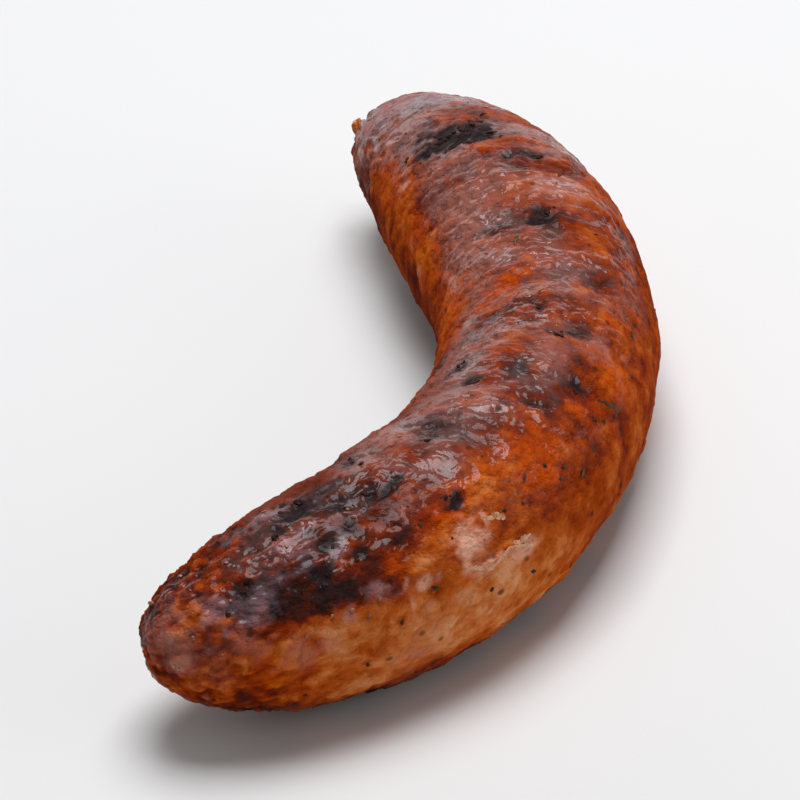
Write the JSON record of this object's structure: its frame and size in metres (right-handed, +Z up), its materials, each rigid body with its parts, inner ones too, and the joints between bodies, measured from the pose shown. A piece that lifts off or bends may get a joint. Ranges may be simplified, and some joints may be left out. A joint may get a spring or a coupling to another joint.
{
  "type": "grilled sausage",
  "caption": "Curved grilled sausage lying on its side, with rounded ends, a tied casing nub at one tip and grill-bar marks across its back.",
  "frame": {"origin": "on the surface that the sausage rests on, below the middle of its bounding box", "axes": "+X from the blunt front tip to the tied back tip along the chord, +Y towards the hollow side of the curve, +Z up"},
  "size_m": [0.1588, 0.0648, 0.0334],
  "materials": {
    "browned_casing": "natural casing grilled glossy red-brown, charred where the bars pressed and pale tan low on the outer flank"
  },
  "bodies": {
    "root": {"sausage": "browned_casing"}
  },
  "joints": []
}
